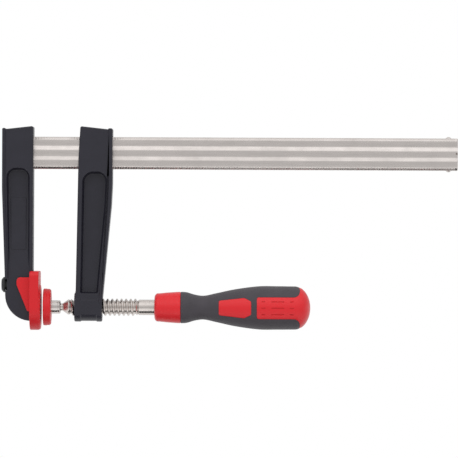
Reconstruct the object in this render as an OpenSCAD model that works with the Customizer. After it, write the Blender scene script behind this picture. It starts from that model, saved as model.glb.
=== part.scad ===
// F clamp: a grooved steel bar with a fixed cast jaw at one end, a cast arm that
// slides along it, and a screw spindle with a swivelling pad and a two-colour handle.
//
// +X runs along the bar and the spindle, away from the fixed jaw. +Z points from the
// spindle up to the bar. The origin is the centre of the fixed jaw's clamping face,
// on the spindle's axis. Every length is in millimetres.

/* [Clamp] */
// From the spindle's axis to the underside of the bar
throat = 120; // [90:1:150]
// How far the bar reaches past the fixed clamping face
bar_reach = 362; // [250:1:600]
// Space between the two clamping faces at rest
rest_gap = 2.2; // [2.1:0.1:6]
// How far the screw can draw the pad back from rest
screw_stroke = 10; // [4:1:24]

/* [Bar] */
// Height of the bar's section
bar_h = 28; // [22:0.5:34]
// Thickness of the bar
bar_t = 12; // [10:0.5:15]
// Height of the flat floor of each side groove
groove_floor_h = 5.6; // [3:0.1:7]
// Height of each sloped wall of a groove
groove_slope_h = 3.3; // [2:0.1:3.8]
// Depth of each side groove
groove_depth = 2; // [1:0.1:3]
// Height of the bevels along the bar's edges
edge_bevel_h = 1.9; // [1:0.1:2.5]
// Depth of the bevels along the bar's edges
edge_bevel_d = 2; // [1:0.1:2.4]
// From the bar's free end to the middle of the punched stops
stop_inset = 7.9; // [6:0.1:12]
// Radius of a punched stop
stop_r = 2.9; // [2.4:0.1:2.9]
// How far a punched stop stands out of the bar's edge
stop_rise = 1.4; // [1:0.1:2]

/* [Castings] */
// Thickness of both castings where they hold the bar
head_w = 24; // [22:0.5:30]
// Thickness of both castings at the spindle
body_w = 20; // [16:0.5:22]
// Thickness of the web between the two side pockets
web_t = 8; // [5:0.5:10]
// How far the rib along the back stands out of each side
rib_proud = 1; // [0.5:0.1:2]
// Metal above the bar on the clamping side
head_rise = 9.2; // [6:0.1:14]
// How far the head's top falls towards the back
head_fall = 3; // [1:0.1:5]
// How far the back rib stands above the fallen top
rib_lift = 1.2; // [0.5:0.1:3]
// Running gap all round the bar in the sliding arm
slot_gap = 0.4; // [0.3:0.05:0.8]

/* [Fixed jaw] */
// Length of the fixed jaw along the bar
jaw_l = 26.9; // [22:0.1:36]
// From the clamping face back to the jaw's inner face
jaw_setback = 6.8; // [6:0.1:9]
// Width of the rib along the jaw's back
jaw_rib_l = 2.8; // [2:0.1:5]
// How far the back comes forward between the head and the foot
jaw_back_step = 2.7; // [1:0.1:5]
// Radius of the curve under the foot
hook_r = 24; // [16:0.5:24]
// How far the foot reaches below the spindle's axis
foot_drop = 12; // [10:0.5:14]
// Depth of the notch across the foot's back that holds the rivet's collar
rivet_notch = 2; // [1:0.1:3]
// Height of the rivet above the spindle's axis
rivet_z = 19.3; // [17:0.1:21]

/* [Fixed jaw cap] */
// Depth of the cap from its clamping face to its lip
cap_depth = 9.3; // [8:0.1:11]
// Half the cap's width, also the radius of its rounded lower end
cap_r = 20; // [18:0.5:24]
// Height of the cap's straight top above the spindle's axis
cap_top = 31.2; // [28:0.1:36]
// Radius of the cap's two upper corners
cap_corner_r = 4; // [2:0.5:6]
// Wall round the cap's rim
cap_wall = 2.6; // [2:0.1:3.5]
// Thickness of the cap behind its clamping face
cap_face_t = 3; // [2.4:0.1:3.2]
// How far the round clamping face stands out
face_proud = 1.2; // [0.6:0.1:1.6]
// Thickness of the lip that snaps behind the foot
cap_lip_t = 1.5; // [1:0.1:2]
// Thickness of the two side wings
wing_t = 2.4; // [1.8:0.1:3]
// How far the wings reach back past the lip
wing_l = 11.4; // [8:0.1:13]
// Gap between the cap and the foot
cap_gap = 0.15; // [0.1:0.05:0.3]

/* [Moving pad] */
// Radius of the moving pad's cap
pad_r = 16; // [13:0.5:20]
// Depth of the moving pad's cap
pad_depth = 6.6; // [6.4:0.1:10]
// Wall of the moving pad's cap
pad_wall = 2.2; // [1.6:0.1:3]
// Thickness of the steel plate in the pad
plate_t = 2; // [1.6:0.1:2.2]
// Thickness of the sleeve's flange
flange_t = 1; // [0.8:0.1:1.2]
// Radius of the sleeve's flange
flange_r = 9; // [8:0.5:10]

/* [Ball joint] */
// Radius of the ball on the spindle's end
ball_r = 4; // [3.6:0.1:4.4]
// Radius of the neck behind the ball
neck_r = 3.2; // [2.6:0.1:3.3]
// Gap between the ball, the cup and the sleeve
ball_gap = 0.25; // [0.2:0.05:0.35]
// Thickness of the cup that the ball pushes on
cup_t = 0.5; // [0.4:0.05:0.8]
// Wall of the socket sleeve
sleeve_wall = 0.85; // [0.7:0.05:1.4]
// Space between the retaining ring and the sleeve's rolled end
ring_play = 0.775; // [0.4:0.025:2]
// Thickness of the rolled end
sleeve_lip_t = 0.8; // [0.6:0.1:1]
// Section of the retaining ring
ring_t = 0.7; // [0.6:0.05:0.8]
// How far the pad tilts either way
tilt_max = 6; // [2:0.5:6]

/* [Spindle] */
// Outer radius of the thread
thread_r = 7.5; // [6.5:0.1:9]
// Depth of the thread
thread_depth = 1.8; // [1:0.1:2.2]
// Pitch of the thread
pitch = 4; // [3:0.5:5]
// Radius of the plain shank
shank_r = 6.7; // [6:0.1:8]
// Length of neck seen behind the sleeve
neck_l = 1.8; // [1.4:0.1:4]
// Length of the cone behind the neck
cone_l = 4.9; // [3:0.1:8]
// Length of the spindle that shows behind the arm
spindle_tail = 45.4; // [30:0.1:80]
// Length of the plain shank in front of the handle
shank_l = 13.6; // [6:0.1:24]
// Gap between the thread and the bore in the arm
thread_gap = 0.3; // [0.25:0.05:0.5]
// Radius of the tang inside the handle
tang_r = 5; // [4:0.1:6]
// Distance across the two flats of the tang
tang_flats = 8.6; // [7:0.1:9.5]
// Length of the tang
tang_l = 80; // [40:1:110]

/* [Sliding arm] */
// Length of the arm along the bar
arm_l = 29.5; // [26:0.1:40]
// Length of the boss round the spindle
boss_l = 24.2; // [18:0.1:26]
// Radius of the boss
boss_r = 12.6; // [11:0.1:15]
// How much thinner the boss is between its two collars
boss_waist = 0.6; // [0.3:0.1:1]
// Half the width across the boss's two flat sides
boss_flat = 10.6; // [10.2:0.1:12]
// Space left between the drawn-back sleeve and the boss
boss_margin = 2; // [1.8:0.1:4]
// How far the arm's head is set back from its boss
arm_lean = 3.3; // [1:0.1:6]
// Width of the rib along the arm's back
arm_rib_l = 3.8; // [3:0.1:5]
// Space between the arm and the stops at full travel
stop_margin = 0.6; // [0.4:0.1:2]

/* [Handle] */
// Length of the handle
handle_l = 135.6; // [110:0.1:160]
// Radius of the collar
collar_r = 13.55; // [11:0.05:16]
// Length of the collar
collar_l = 22.7; // [14:0.1:30]
// Radius of the waist behind the collar
waist_r = 10.4; // [9:0.1:12]
// Radius of the palm swell
palm_r = 19; // [16:0.1:22]
// Length of the domed end
dome_l = 13.4; // [10:0.1:18]
// Thickness of the soft grip
grip_t = 2.2; // [1.6:0.1:3]
// How far the red panels lie below the grip's surface
panel_drop = 0.2; // [0:0.05:0.6]
// Half the width of the long panels
tongue_half_w = 9.4; // [6:0.1:11]
// Half the width of the small panels at their blunt end
window_half_w = 6.3; // [4:0.1:8]
// Length of the small panels
window_l = 28; // [18:0.5:34]

/* [Hidden] */
$fn = 96;
past = 1;            // how far a cut runs past the face that it opens
arc_steps = 12;      // straight steps in a rounded corner
panel_count = 3;     // panels of each kind round the handle

// Fixed jaw
bar_top = throat + bar_h;
head_top = bar_top + head_rise;
jaw_x = -jaw_setback;
jaw_back_x = jaw_x - jaw_l;
foot_back_x = jaw_back_x + jaw_back_step;
bar_end_inset = 0.6;
bar_start_x = jaw_back_x + bar_end_inset;
land_front_x = -cap_face_t;
land_back_x = cap_lip_t - cap_depth;
land_r = cap_r - cap_wall - cap_gap;
land_top = cap_top - cap_wall - cap_gap;
stem_r = 4;
stem_l = 9;
pin_r = 2;
notch_x = foot_back_x + rivet_notch;
rivet_head_r = 6.7;
rivet_collar_r = 4.8;
rivet_face_r = 4.6;
rivet_head_l = 3.2;
rivet_tip_l = 6;

// Moving pad and ball joint, from the moving clamping face backwards
pad_x = rest_gap;
pad_back_x = pad_x + pad_depth;
flange_back_x = pad_back_x - cap_lip_t;
flange_x = flange_back_x - flange_t;
plate_x = flange_x - plate_t;
cup_in_r = ball_r + ball_gap;
cup_out_r = cup_in_r + cup_t;
sleeve_in_r = cup_out_r + ball_gap;
sleeve_r = sleeve_in_r + sleeve_wall;
button_gap = 0.35;
ball_x = flange_back_x + button_gap + cup_out_r;
ring_x = ball_x + sqrt(ball_r * ball_r - neck_r * neck_r) + ball_gap / 2;
sleeve_end_x = ring_x + ring_t + ring_play + sleeve_lip_t;
sleeve_lip_r = neck_r + (sleeve_end_x - ball_x) * sin(tilt_max) + ball_gap;

// Sliding arm and spindle
boss_x = sleeve_end_x + screw_stroke + boss_margin;
boss_back_x = boss_x + boss_l;
arm_x = boss_x + arm_lean;
arm_back_x = arm_x + arm_l;
arm_travel = bar_reach - stop_inset - stop_r - arm_back_x - stop_margin;
cone_x = sleeve_end_x + neck_l;
cone_end_r = thread_r - thread_depth / 2;
thread_x = cone_x + cone_l;
handle_x = boss_back_x + spindle_tail;
shank_x = handle_x - shank_l;
turns = floor((shank_x - thread_x) / pitch);
root_r = thread_r - thread_depth;
tang_gap = 0.05;

// Handle stations, measured along X
collar_end_x = handle_x + collar_l;
handle_end_x = handle_x + handle_l;
dome_x = handle_end_x - dome_l;
grip_end_x = dome_x + 5;
window_x = handle_x + 56;
tongue_x = window_x + window_l + 5;

echo(str("The arm slides ", arm_travel, " mm; the pad tilts about X = ", ball_x, " mm."));

// ---- shared shapes ----

// Extrudes an outline drawn in X and Z to a thickness centred on Y = 0
module across_y(thickness) {
    rotate([90, 0, 0]) linear_extrude(thickness, center = true) children();
}

// Extrudes an outline drawn in Y and Z along X
module along_x(start_x, length) {
    translate([start_x, 0, 0]) rotate([90, 0, 90]) linear_extrude(length) children();
}

// Turns an outline of [radius, x] points about the X axis
module turned() {
    rotate([0, 90, 0]) rotate_extrude() children();
}

// A round bar or bore along X
module rod(start_x, length, r) {
    translate([start_x, 0, 0]) rotate([0, 90, 0]) cylinder(h = length, r = r);
}

module mirrored_y() {
    children();
    mirror([0, 1, 0]) children();
}

function unit(v) = v / norm(v);
function turn_between(from, to) = let (d = to - from) d > 180 ? d - 360 : d < -180 ? d + 360 : d;

// The points that replace a corner at p by an arc of radius r
function corner_arc(before, p, after, r) =
    r == 0 ? [p] :
    let (u = unit(before - p), v = unit(after - p), half = acos(u * v) / 2,
         centre = p + unit(u + v) * r / sin(half),
         first = p + u * r / tan(half) - centre, last = p + v * r / tan(half) - centre,
         start = atan2(first.y, first.x), sweep = turn_between(start, atan2(last.y, last.x)))
    [for (i = [0:arc_steps]) let (a = start + sweep * i / arc_steps) centre + r * [cos(a), sin(a)]];

// An outline whose corners [x, y, r] are rounded
function rounded(c) = let (n = len(c), xy = [for (p = c) [p.x, p.y]])
    [for (i = [0:n - 1]) each corner_arc(xy[(i + n - 1) % n], xy[i], xy[(i + 1) % n], c[i].z)];

// Straight top, straight sides and a half-round lower end, in Y and Z
module shield(r, top, corner_r) {
    circle(r);
    polygon(rounded([[r, 0, 0], [r, top, corner_r], [-r, top, corner_r], [-r, 0, 0]]));
}

// ---- bar ----

function bar_side(s) = let (h = bar_h / 2, f = groove_floor_h / 2, g = f + groove_slope_h, t = bar_t / 2)
    [[t - edge_bevel_d, h], [t, h - edge_bevel_h], [t, g], [t - groove_depth, f],
     [t - groove_depth, -f], [t, -g], [t, edge_bevel_h - h], [t - edge_bevel_d, -h]] * s;

module bar() color("silver") {
    along_x(bar_start_x, bar_reach - bar_start_x)
        translate([0, throat + bar_h / 2]) polygon(concat(bar_side(1), bar_side(-1)));
    for (z = [throat - stop_rise + stop_r, bar_top + stop_rise - stop_r])
        translate([bar_reach - stop_inset, 0, z]) sphere(stop_r);
}

// ---- castings ----

taper_low = 30;      // below this height a casting keeps its lower thickness
head_under = 6;      // metal under the bar before a casting starts to taper

// Side view in Y and Z that tapers a casting from head to foot
module taper(extra) {
    top = head_top + 10;
    low = -boss_r - 10;
    w = body_w / 2 + extra;
    h = head_w / 2 + extra;
    bend = throat - head_under;
    polygon([[w, low], [w, taper_low], [h, bend], [h, top],
             [-h, top], [-h, bend], [-w, taper_low], [-w, low]]);
}

// An outline in X and Z given the casting's tapered thickness
module cast(outline, extra = 0) {
    intersection() {
        across_y(head_w * 2) polygon(outline);
        along_x(-200, 1000) taper(extra);
    }
}

// The same pocket cut into both sides, down to the web
module pockets(outline) {
    mirrored_y() translate([0, -web_t / 2 - head_w / 2, 0]) across_y(head_w) polygon(outline);
}

module bar_slot(start_x, length, gap) {
    translate([start_x, -bar_t / 2 - gap, throat - gap]) cube([length, bar_t + 2 * gap, bar_h + 2 * gap]);
}

back_low = 26;       // height where the jaw's sloping back reaches the foot

module fixed_jaw_solid() {
    back_top = head_top - head_fall;
    rib_top = back_top + rib_lift;
    back_bend = throat - 18;
    cast(rounded([[jaw_x, head_top, 1.5], [jaw_back_x, back_top, 1], [jaw_back_x, back_bend, 120],
                  [foot_back_x, back_low, 120], [foot_back_x, -foot_drop, hook_r],
                  [jaw_x, -foot_drop, 0]]));
    cast(rounded([[jaw_back_x + jaw_rib_l, rib_top, 1], [jaw_back_x, rib_top, 1.2],
                  [jaw_back_x, back_bend, 120], [foot_back_x, back_low, 0],
                  [foot_back_x + jaw_rib_l, back_low, 0], [jaw_back_x + jaw_rib_l, back_bend, 120]]),
         rib_proud);
}

module fixed_jaw() color("#34353c") {
    pocket_l = 0.5;      // flat between the back rib and the pocket
    inner_rim = 3.3;     // flat between the pocket and the jaw's inner face
    arch_top = throat + 0.5;
    pocket_low = back_low + 1.5;
    notch_half_h = rivet_collar_r + cap_gap;
    left = jaw_back_x + jaw_rib_l + pocket_l;
    right = jaw_x - inner_rim;
    arch_r = (right - left) / 2 - 2;
    difference() {
        union() {
            difference() {
                fixed_jaw_solid();
                pockets(rounded([[left, arch_top, arch_r], [left + jaw_back_step, pocket_low, 3],
                                 [right, pocket_low, 3], [right, arch_top, arch_r]]));
            }
            along_x(land_back_x, land_front_x - land_back_x) shield(land_r, land_top, cap_corner_r - 1);
        }
        bar_slot(jaw_back_x - past, jaw_l + 2 * past, 0);
        translate([foot_back_x - jaw_back_step, -head_w, rivet_z - notch_half_h])
            cube([jaw_back_step + rivet_notch, 2 * head_w, 2 * notch_half_h]);
        translate([0, 0, rivet_z]) rod(notch_x - past, -notch_x + past, stem_r + cap_gap);
    }
}

// ---- cap on the fixed jaw ----

face_step = 0.4;     // step between the cap's rim and its round clamping face
face_bevel = 0.8;    // bevel round that face

module wing() {
    root_x = -cap_depth + cap_lip_t / 2;
    tip_x = -cap_depth - wing_l;
    upper = rivet_z + 6.5;
    lower = -3.6;
    foot_side = body_w / 2 + cap_gap;
    translate([0, foot_side + wing_t / 2, 0])
        across_y(wing_t) polygon(rounded([[root_x, upper, 0], [tip_x, upper, 3], [tip_x, upper - 6.5, 3],
                                          [-cap_depth - 2, lower, 1], [root_x, lower, 0]]));
}

module fixed_jaw_cap() color("#d33237") {
    foot_side = body_w / 2 + cap_gap;
    difference() {
        union() {
            along_x(-cap_depth, cap_depth - face_proud) shield(cap_r, cap_top, cap_corner_r);
            turned() polygon([[0, -face_proud - past], [cap_r - face_step, -face_proud - past],
                              [cap_r - face_step, -face_bevel], [cap_r - face_step - face_bevel, 0],
                              [0, 0]]);
        }
        along_x(land_back_x - cap_gap, land_front_x - land_back_x + 2 * cap_gap)
            shield(land_r + cap_gap, land_top + cap_gap, cap_corner_r - 1);
        translate([-cap_depth - past, -foot_side, -foot_drop - cap_gap])
            cube([cap_depth + past + jaw_x + cap_gap, 2 * foot_side, cap_top + foot_drop + 2 * past]);
    }
    mirrored_y() wing();
    translate([0, 0, rivet_z]) difference() {
        rod(land_front_x - stem_l, stem_l + cap_gap + past, stem_r);
        rod(land_front_x - stem_l - past, stem_l, pin_r + cap_gap);
    }
}

// Round black push rivet that keeps the cap on
module cap_rivet() color("#232326") {
    stem_end_x = land_front_x - stem_l;
    head_x = notch_x - rivet_notch - 0.05;   // just clear of the foot's hollow back
    translate([0, 0, rivet_z]) turned()
        polygon([[0, head_x - rivet_head_l], [rivet_face_r, head_x - rivet_head_l],
                 [rivet_head_r, head_x - 1.4], [rivet_head_r, head_x], [rivet_collar_r, head_x],
                 [rivet_collar_r, notch_x], [stem_r, notch_x],
                 [stem_r, stem_end_x - cap_gap], [pin_r, stem_end_x - cap_gap],
                 [pin_r, stem_end_x + rivet_tip_l], [0, stem_end_x + rivet_tip_l]]);
}

// ---- sliding arm ----

back_bend_drop = 22;  // how far under the bar the arm's back starts to slope
back_curve_r = 200;   // radius of that bend

module sliding_arm_solid() {
    back_top = head_top - head_fall;
    rib_top = back_top + rib_lift;
    bend_z = throat - back_bend_drop;
    rib_x = arm_back_x - arm_rib_l;
    cast(rounded([[arm_x + 1.6, head_top, 1.5], [arm_back_x, back_top, 1],
                  [arm_back_x, bend_z, back_curve_r],
                  [boss_back_x + 0.4, boss_r / 2, 10], [boss_back_x, 0, 0], [boss_x, 0, 0],
                  [boss_x, boss_r * 0.7, 3], [boss_x + 1.3, boss_r + 2, 4],
                  [arm_x, throat + bar_h / 3, 30]]));
    cast(rounded([[arm_back_x, rib_top, 1.2], [arm_back_x, bend_z, back_curve_r],
                  [boss_back_x + 0.4, boss_r / 2, 0], [boss_back_x + 1.1 - arm_rib_l, boss_r / 2, 0],
                  [rib_x, bend_z, back_curve_r], [rib_x, rib_top, 1]]), rib_proud);
}

module sliding_arm() color("#34353c") {
    inner_rim = 3.8;     // flat between the pocket and the arm's inner face
    bend_z = throat - back_bend_drop;
    pocket_low = boss_r - 0.3;
    arch_top = throat - 2.5;
    right = arm_back_x - arm_rib_l;
    collar = 5.4;        // length of each end collar of the boss
    difference() {
        union() {
            difference() {
                sliding_arm_solid();
                pockets(rounded([[right, arch_top, 8], [right, bend_z, back_curve_r],
                                 [boss_back_x + 1 - arm_rib_l, pocket_low, 0.5],
                                 [boss_x + 1.6 + inner_rim, pocket_low, 0.5],
                                 [arm_x + inner_rim, arch_top, 9]]));
            }
            intersection() {
                union() {
                    rod(boss_x, boss_l, boss_r - boss_waist);
                    rod(boss_x, collar, boss_r);
                    rod(boss_back_x - collar + 1, collar - 1, boss_r);
                }
                translate([boss_x - past, -boss_flat, -2 * boss_r])
                    cube([boss_l + 2 * past, 2 * boss_flat, 4 * boss_r]);
            }
        }
        bar_slot(boss_x, 2 * arm_l, slot_gap);
        rod(boss_x - past, boss_l + 2 * past + arm_l, thread_r + thread_gap);
    }
}

// ---- ball joint and moving pad ----

module ball_retaining_ring() color("#8f8f93") {
    inner = neck_r + ball_gap;
    turned() translate([inner, ring_x]) square(ring_t);
}

// Thin bearing cup round the front of the ball
module thrust_cup() color("#b08d4f") {
    difference() {
        translate([ball_x, 0, 0]) sphere(cup_out_r);
        translate([ball_x, 0, 0]) sphere(cup_in_r);
        translate([ball_x - past, -ball_r * 2, -ball_r * 2]) cube(ball_r * 4);
    }
}

module pressure_plate() color("#a9a9ad") {
    rod(plate_x, plate_t, pad_r - pad_wall - cap_gap);
    rod(plate_x, plate_t + flange_t, sleeve_in_r - cap_gap);
}

module socket_sleeve() color("#c9c6c2") {
    turned() polygon([[sleeve_in_r, flange_x], [flange_r, flange_x], [flange_r, flange_back_x],
                      [sleeve_r, flange_back_x], [sleeve_r, sleeve_end_x - 0.8],
                      [sleeve_r - 0.8, sleeve_end_x], [sleeve_lip_r, sleeve_end_x],
                      [sleeve_lip_r, sleeve_end_x - sleeve_lip_t],
                      [sleeve_in_r, sleeve_end_x - sleeve_lip_t]]);
}

module moving_pad_cap() color("#d33237") {
    edge = 0.6;
    inner = pad_r - pad_wall;
    turned() polygon([[0, pad_x], [pad_r - edge, pad_x], [pad_r, pad_x + edge],
                      [pad_r, pad_back_x - edge], [pad_r - edge, pad_back_x],
                      [sleeve_r + cap_gap, pad_back_x], [sleeve_r + cap_gap, flange_back_x],
                      [inner, flange_back_x], [inner, plate_x], [0, plate_x]]);
}

// ---- spindle ----

// The thread's outline: each turn has a root flat and a crest flat of a fifth of the pitch
thread_points = [for (i = [0:turns - 1], p = [[root_r, 0], [root_r, 0.2], [thread_r, 0.5], [thread_r, 0.7]])
    [p.x, thread_x + past + (i + p.y) * pitch]];

module spindle() color("#c9c6c2") {
    ball_meets_neck = ball_x + sqrt(ball_r * ball_r - neck_r * neck_r) - 0.1;
    translate([ball_x, 0, 0]) sphere(ball_r);
    turned() polygon(concat([[0, ball_meets_neck], [neck_r, ball_meets_neck], [neck_r, cone_x],
                             [cone_end_r, thread_x], [cone_end_r, thread_x + past]], thread_points,
                            [[root_r, shank_x], [shank_r, shank_x + 1],
                             [shank_r, handle_x], [0, handle_x]]));
    intersection() {
        rod(handle_x - past, tang_l + past, tang_r);
        translate([handle_x - past, -tang_r, -tang_flats / 2]) cube([tang_l + past, 2 * tang_r, tang_flats]);
    }
}

// ---- handle ----

// Stations [x, radius] of the handle's outline between its collar and its domed end
stations = [[handle_x + 1.2, collar_r - 1.9], [handle_x + 12, collar_r - 0.5], [collar_end_x + 4, collar_r],
            [collar_end_x + 12.5, waist_r + 0.9], [collar_end_x + 20.3, waist_r],
            [collar_end_x + 31, waist_r + 2.2], [collar_end_x + 47.5, palm_r - 2.8],
            [collar_end_x + 68, palm_r - 0.1], [dome_x - 14, palm_r], [dome_x, palm_r - 0.1]];
curve_steps = 4;     // straight steps between two stations
last = len(stations) - 1;

function slope_at(i) = i == 0 || i == last ? 0 :
    (stations[i + 1].y - stations[i - 1].y) / (stations[i + 1].x - stations[i - 1].x);

// Smooth curve through the stations, as [radius, x] points
function between(i, t) = let (a = stations[i], b = stations[i + 1], d = b.x - a.x)
    [a.y * (1 + 2 * t) * pow(1 - t, 2) + b.y * t * t * (3 - 2 * t)
     + slope_at(i) * d * t * pow(1 - t, 2) - slope_at(i + 1) * d * t * t * (1 - t), a.x + d * t];
body_curve = [for (i = [0:last - 1], s = [0:curve_steps - 1]) between(i, s / curve_steps)];
dome_curve = [for (a = [0:15:75]) [(palm_r - 0.1) * cos(a), dome_x + dome_l * sin(a)]];
handle_curve = concat(body_curve, dome_curve);

// The handle turned to a radius that lies drop below its surface
module handle_form(drop) {
    inner = [for (p = handle_curve) [p.x - drop, p.y]];
    turned() polygon(concat([[0, handle_x], [collar_r - 2.6 - drop, handle_x]], inner,
                            [[0, handle_end_x - drop]]));
}

// A slice of the handle between two places on X
module handle_slice(from_x, to_x, drop) {
    intersection() {
        handle_form(drop);
        rod(from_x, to_x - from_x, palm_r + past);
    }
}

// Side outlines of both kinds of panel, pushed outwards from the axis
module panel_prisms() {
    shoulder = window_half_w + 2.5;
    for (i = [0:panel_count - 1]) rotate([i * 360 / panel_count, 0, 0]) translate([0, -palm_r, 0]) {
        across_y(palm_r * 1.6) polygon(rounded([
            [window_x, window_half_w, 1.5], [window_x, -window_half_w, 1.5],
            [window_x + window_l * 0.79, -shoulder, 2], [window_x + window_l, 3 - shoulder, 1.5],
            [window_x + window_l, shoulder - 3, 1.5], [window_x + window_l * 0.79, shoulder, 2]]));
        across_y(palm_r * 1.6) polygon(rounded([
            [tongue_x, tongue_half_w, 1.7], [tongue_x, -tongue_half_w, 1.7],
            [handle_end_x + past, -tongue_half_w, 0], [handle_end_x + past, tongue_half_w, 0]]));
    }
}

module handle_core() color("#d33237") {
    difference() {
        union() {
            handle_slice(handle_x, collar_end_x, 0);
            handle_slice(collar_end_x - past, grip_end_x + past, grip_t);
            handle_slice(grip_end_x, handle_end_x, 0);
            intersection() {
                handle_slice(collar_end_x, grip_end_x + past, panel_drop);
                panel_prisms();
            }
        }
        intersection() {
            rod(handle_x - past, tang_l + 2 * past, tang_r + tang_gap);
            translate([handle_x - past, -tang_r - past, -tang_flats / 2 - tang_gap])
                cube([tang_l + 2 * past, 2 * tang_r + 2 * past, tang_flats + 2 * tang_gap]);
        }
    }
}

module handle_grip() color("#48464d") {
    difference() {
        handle_slice(collar_end_x, grip_end_x, 0);
        handle_form(grip_t);
        panel_prisms();
    }
}

bar();
fixed_jaw();
fixed_jaw_cap();
cap_rivet();
sliding_arm();
spindle();
ball_retaining_ring();
thrust_cup();
pressure_plate();
socket_sleeve();
moving_pad_cap();
handle_core();
handle_grip();
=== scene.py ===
"""F clamp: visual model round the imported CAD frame.

Lengths are in millimetres until a mesh is made, where MM turns them into metres.
+X runs along the bar away from the fixed jaw, +Z is up, and the camera sees the -Y side.
"""
import math

import bmesh
import bpy
from mathutils import Matrix, Vector


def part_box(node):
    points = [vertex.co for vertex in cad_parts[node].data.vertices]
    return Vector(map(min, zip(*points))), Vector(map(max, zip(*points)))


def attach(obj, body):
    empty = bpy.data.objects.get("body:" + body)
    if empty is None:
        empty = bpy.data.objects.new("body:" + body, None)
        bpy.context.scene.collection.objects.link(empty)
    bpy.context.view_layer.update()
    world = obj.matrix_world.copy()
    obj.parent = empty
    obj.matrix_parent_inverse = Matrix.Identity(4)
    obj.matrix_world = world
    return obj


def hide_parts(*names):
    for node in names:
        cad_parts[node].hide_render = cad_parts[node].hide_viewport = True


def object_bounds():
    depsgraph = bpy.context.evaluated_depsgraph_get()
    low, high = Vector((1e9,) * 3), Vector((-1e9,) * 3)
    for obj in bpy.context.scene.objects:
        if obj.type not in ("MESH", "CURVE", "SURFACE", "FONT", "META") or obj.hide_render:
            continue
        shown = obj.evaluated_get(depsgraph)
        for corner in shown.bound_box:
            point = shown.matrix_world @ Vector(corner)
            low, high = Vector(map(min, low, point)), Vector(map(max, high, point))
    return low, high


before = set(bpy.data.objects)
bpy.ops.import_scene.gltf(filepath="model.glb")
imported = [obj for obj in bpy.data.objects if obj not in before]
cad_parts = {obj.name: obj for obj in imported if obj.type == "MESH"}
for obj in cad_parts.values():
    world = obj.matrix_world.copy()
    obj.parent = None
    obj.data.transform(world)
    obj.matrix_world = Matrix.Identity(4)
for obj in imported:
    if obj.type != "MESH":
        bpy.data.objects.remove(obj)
cad_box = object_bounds()

MM = 0.001
FRONT, BACK = -1, 1


def node_box(name):
    """A CAD node's lowest and highest corner, in millimetres."""
    low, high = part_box(name)
    return low / MM, high / MM


# ---------------------------------------------------------------- sizes from the frame

BAR_LOW, BAR_HIGH = node_box("bar")
JAW_LOW, _ = node_box("fixed_jaw")
_, CAP_HIGH = node_box("fixed_jaw_cap")
ARM_LOW, ARM_HIGH = node_box("sliding_arm")
PAD_LOW, PAD_HIGH = node_box("moving_pad_cap")
_, SLEEVE_HIGH = node_box("socket_sleeve")
SPINDLE_LOW, _ = node_box("spindle")
CORE_LOW, CORE_HIGH = node_box("handle_core")
_, GRIP_HIGH = node_box("handle_grip")
CAD_LOW, CAD_HIGH = (Vector(corner) for corner in cad_box)      # in metres

STOP_RISE = 1.4         # how far the stops stand out of the bar's edges
BAR_Z0 = BAR_LOW.z + STOP_RISE
BAR_Z1 = BAR_HIGH.z - STOP_RISE
BAR_T = BAR_HIGH.y - BAR_LOW.y
BAR_MID = (BAR_Z0 + BAR_Z1) / 2

# Sizes that both castings share
HEAD_W = 24.0           # thickness at the head
BODY_W = 20.0           # thickness below the taper
WEB_T = 8.0             # web between the pockets
HEAD_TOP = BAR_Z1 + 9.2
HEAD_FALL = 3.0         # how far the head's top falls towards the back
RIB_PROUD = 1.0         # how far the back rib stands out of the sides
RIB_LIFT = 1.2          # and above the head
RIB_CREASE = 0.3        # how far the body stays inside the rib's outline
RIB_EDGE_R = 0.95
BODY_EDGE_R = 1.1


# ---------------------------------------------------------------- outlines

def arc_points(centre, radius, first, last, sweep_step):
    """Points on an arc between two directions, the short way round."""
    start = math.atan2(first.y, first.x)
    sweep = math.atan2(last.y, last.x) - start
    sweep = (sweep + math.pi) % math.tau - math.pi
    count = max(1, math.ceil(abs(math.degrees(sweep)) / sweep_step - 0.01))
    angles = (start + sweep * i / count for i in range(count + 1))
    return [centre + radius * Vector((math.cos(a), math.sin(a))) for a in angles]


def corner_arc(before, point, after, radius, sweep_step=7.5):
    """The points that replace a corner by an arc."""
    u = (before - point).normalized()
    v = (after - point).normalized()
    half = u.angle(v) / 2
    centre = point + (u + v).normalized() * radius / math.sin(half)
    along = radius / math.tan(half)
    return arc_points(centre, radius, point + u * along - centre, point + v * along - centre, sweep_step)


def shape(*corners):
    """An outline of (x, y, radius) corners, as a function that gives its points moved inwards."""
    xy = [Vector(c[:2]) for c in corners]
    radii = [c[2] for c in corners]
    if sum(a.cross(b) for a, b in zip(xy, xy[1:] + xy[:1])) < 0:
        xy.reverse()
        radii.reverse()
    n = len(xy)

    def ring(inset=0.0):
        moved, rounding = [], []
        for i in range(n):
            u = (xy[i - 1] - xy[i]).normalized()
            v = (xy[(i + 1) % n] - xy[i]).normalized()
            outwards = 1 if v.cross(u) > 0 else -1
            shift = (u + v).normalized() * inset / math.sin(u.angle(v) / 2)
            moved.append(xy[i] + shift * outwards)
            rounding.append(max(0.02, radii[i] - inset * outwards))
        points = []
        for i in range(n):
            points += corner_arc(moved[i - 1], moved[i], moved[(i + 1) % n], rounding[i])
        return points

    return ring


# ---------------------------------------------------------------- meshes

def new_object(name, bm, smooth_angle=32):
    """A named object in metres from a bmesh in millimetres."""
    bmesh.ops.remove_doubles(bm, verts=bm.verts, dist=1e-5)
    bmesh.ops.recalc_face_normals(bm, faces=bm.faces)
    bmesh.ops.scale(bm, vec=(MM, MM, MM), verts=bm.verts)
    mesh = bpy.data.meshes.new(name)
    bm.to_mesh(mesh)
    bm.free()
    obj = bpy.data.objects.new(name, mesh)
    bpy.context.scene.collection.objects.link(obj)
    shade(obj, smooth_angle)
    return obj


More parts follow.
